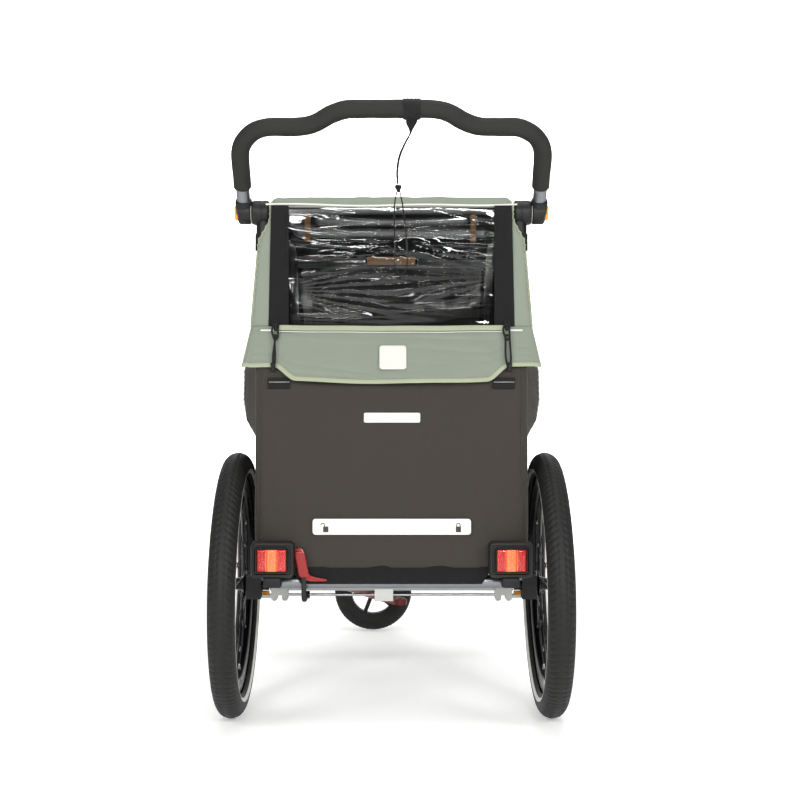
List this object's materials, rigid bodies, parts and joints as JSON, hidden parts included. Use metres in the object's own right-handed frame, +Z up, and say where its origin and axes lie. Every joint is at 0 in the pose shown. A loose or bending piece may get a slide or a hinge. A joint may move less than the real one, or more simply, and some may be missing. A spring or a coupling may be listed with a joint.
{
  "type": "child bicycle trailer",
  "caption": "Child bicycle trailer in stroller form: fabric cabin on a folding tubular frame, sprung spoked wheels, swivelling front wheel, pivoting handlebar and stowed tow arm.",
  "frame": {"origin": "on the ground, below the centre of the box around the whole trailer, midway between its rearmost and foremost points", "axes": "+X to the right seen from behind, +Y forward in the direction of travel, +Z up"},
  "size_m": [0.6562, 1.2285, 1.1302],
  "materials": {
    "silver_tube": "satin anodised",
    "pale_alloy": "cast, bead blasted",
    "steel_pin": "machined",
    "black_plastic": "fine texture",
    "grey_plastic": "fine texture",
    "red_lens": "prismatic reflector",
    "yellow_rubber": "soft elastomer",
    "warm_grey_fabric": "woven polyester",
    "sage_fabric": "coated polyester",
    "clear_vinyl": "clear flexible sheet",
    "dark_pad": "padded knit",
    "black_webbing": "woven webbing",
    "grey_shade": "mesh fabric",
    "foam": "closed-cell foam",
    "orange_plastic": "moulded",
    "tyre_rubber": "moulded tread",
    "black_rim": "satin black anodised",
    "red_plastic": "moulded",
    "ivory_plastic": "printed"
  },
  "bodies": {
    "chassis": {"floor_rail_left": "silver_tube", "floor_rail_right": "silver_tube", "rear_cross_tube": "silver_tube", "front_cross_tube": "silver_tube", "axle_beam": "silver_tube", "corner_box_left": "grey_plastic", "corner_box_right": "grey_plastic", "tail_reflectors": "red_lens", "frame_clamps": "pale_alloy", "clamp_screws": "black_plastic", "suspension_bumpers": "yellow_rubber", "pivot_pins": "steel_pin", "wheel_guards": "silver_tube", "tow_bracket": "black_plastic", "caster_carrier": "silver_tube", "floor_pan": "warm_grey_fabric", "cargo_bag": "warm_grey_fabric", "rear_panel": "warm_grey_fabric", "side_panel_left": "warm_grey_fabric", "side_panel_right": "warm_grey_fabric", "cabin_windows": "clear_vinyl", "cover": "sage_fabric", "front_panel": "sage_fabric", "rear_window": "clear_vinyl", "rear_flap": "sage_fabric", "seat_base": "dark_pad", "seat_back": "dark_pad", "harness": "black_webbing", "sunshade": "grey_shade", "flap_toggles": "black_webbing", "label_bar": "ivory_plastic"},
    "rear_hoop": {"rear_hoop": "silver_tube", "pivot_hub_left": "black_plastic", "pivot_hub_right": "black_plastic"},
    "handlebar": {"handlebar_tube": "silver_tube", "foam_grip": "foam", "handlebar_sockets": "black_plastic"},
    "button_left": {"release_button_left": "orange_plastic"},
    "button_right": {"release_button_right": "orange_plastic"},
    "wrist_strap": {"wrist_strap": "black_webbing"},
    "roof_bows": {"roof_bows": "silver_tube"},
    "arm_left": {"swing_arm_left": "black_plastic", "axle_left": "steel_pin"},
    "arm_right": {"swing_arm_right": "black_plastic", "axle_right": "steel_pin"},
    "wheel_left": {"tyre_left": "tyre_rubber", "rim_left": "black_rim", "spokes_left": "steel_pin", "wheel_hub_left": "black_rim"},
    "wheel_right": {"tyre_right": "tyre_rubber", "rim_right": "black_rim", "spokes_right": "steel_pin", "wheel_hub_right": "black_rim"},
    "wheel_button_left": {"wheel_button_left": "steel_pin"},
    "wheel_button_right": {"wheel_button_right": "steel_pin"},
    "caster_fork": {"caster_fork": "black_plastic"},
    "caster_wheel": {"caster_wheel": "black_plastic"},
    "brake": {"brake_pedal": "red_plastic", "brake_rod": "steel_pin"},
    "tow_arm": {"tow_arm": "silver_tube"}
  },
  "joints": [
    {"name": "frame_fold", "type": "hinge", "parent": "chassis", "child": "rear_hoop", "pos_m": [0, -0.44125, 0.29397], "axis": [-1, 0, 0], "range_deg": [0, 72], "deforming": ["cargo_bag", "rear_panel", "side_panel_left", "side_panel_right", "cabin_windows", "cover", "front_panel", "rear_window", "rear_flap", "seat_back", "harness", "sunshade", "flap_toggles", "label_bar"]},
    {"name": "roof_bow_fold", "type": "hinge", "parent": "chassis", "child": "roof_bows", "pos_m": [0, 0.22675, 0.32398], "axis": [1, 0, 0], "range_deg": [0, 40]},
    {"name": "handlebar_pivot", "type": "hinge", "parent": "rear_hoop", "child": "handlebar", "pos_m": [0, -0.42325, 0.94798], "axis": [1, 0, 0], "range_deg": [-20, 60]},
    {"name": "handlebar_button_left", "type": "slide", "parent": "handlebar", "child": "button_left", "axis": [1, 0, 0], "range_m": [0, 0.003], "stiffness_N_per_m": 800, "springref_m": -0.001},
    {"name": "handlebar_button_right", "type": "slide", "parent": "handlebar", "child": "button_right", "axis": [-1, 0, 0], "range_m": [0, 0.003], "stiffness_N_per_m": 800, "springref_m": -0.001},
    {"name": "strap_hang", "type": "hinge", "parent": "handlebar", "child": "wrist_strap", "pos_m": [0, -0.55604, 1.11195], "axis": [1, 0, 0], "range_deg": [-60, 20]},
    {"name": "suspension_left", "type": "hinge", "parent": "chassis", "child": "arm_left", "pos_m": [-0.25, -0.26625, 0.26998], "axis": [-1, 0, 0], "range_deg": [0, 12], "stiffness_Nm_per_rad": 90, "springref_deg": -5.16},
    {"name": "suspension_right", "type": "hinge", "parent": "chassis", "child": "arm_right", "pos_m": [0.25, -0.26625, 0.26998], "axis": [-1, 0, 0], "range_deg": [0, 12], "stiffness_Nm_per_rad": 90, "springref_deg": -5.16},
    {"name": "wheel_left_spin", "type": "hinge", "parent": "arm_left", "child": "wheel_left", "pos_m": [-0.296, -0.36125, 0.24998], "axis": [-0.9999, 0, 0.015], "continuous": true},
    {"name": "wheel_right_spin", "type": "hinge", "parent": "arm_right", "child": "wheel_right", "pos_m": [0.296, -0.36125, 0.24998], "axis": [0.9999, 0, 0.015], "continuous": true},
    {"name": "wheel_button_left_press", "type": "slide", "parent": "arm_left", "child": "wheel_button_left", "axis": [0.9999, 0, -0.015], "range_m": [0, 0.003], "stiffness_N_per_m": 700, "springref_m": -0.001},
    {"name": "wheel_button_right_press", "type": "slide", "parent": "arm_right", "child": "wheel_button_right", "axis": [-0.9999, 0, -0.015], "range_m": [0, 0.003], "stiffness_N_per_m": 700, "springref_m": -0.001},
    {"name": "brake_press", "type": "hinge", "parent": "chassis", "child": "brake", "pos_m": [0, -0.42125, 0.23797], "axis": [1, 0, 0], "range_deg": [0, 18]},
    {"name": "caster_swivel", "type": "hinge", "parent": "chassis", "child": "caster_fork", "pos_m": [0, 0.58375, 0.25], "axis": [0, 0, 1], "continuous": true},
    {"name": "caster_spin", "type": "hinge", "parent": "caster_fork", "child": "caster_wheel", "pos_m": [-0.048, 0.58375, 0.1], "axis": [0, 1, 0], "continuous": true},
    {"name": "tow_arm_swing", "type": "hinge", "parent": "chassis", "child": "tow_arm", "pos_m": [-0.225, 0.22875, 0.19998], "axis": [0, 0, 1], "range_deg": [0, 85]}
  ],
  "couplings": [
    {"joint": "roof_bow_fold", "follows": "frame_fold", "ratio": 0.55556},
    {"joint": "strap_hang", "follows": "handlebar_pivot", "ratio": -1}
  ]
}
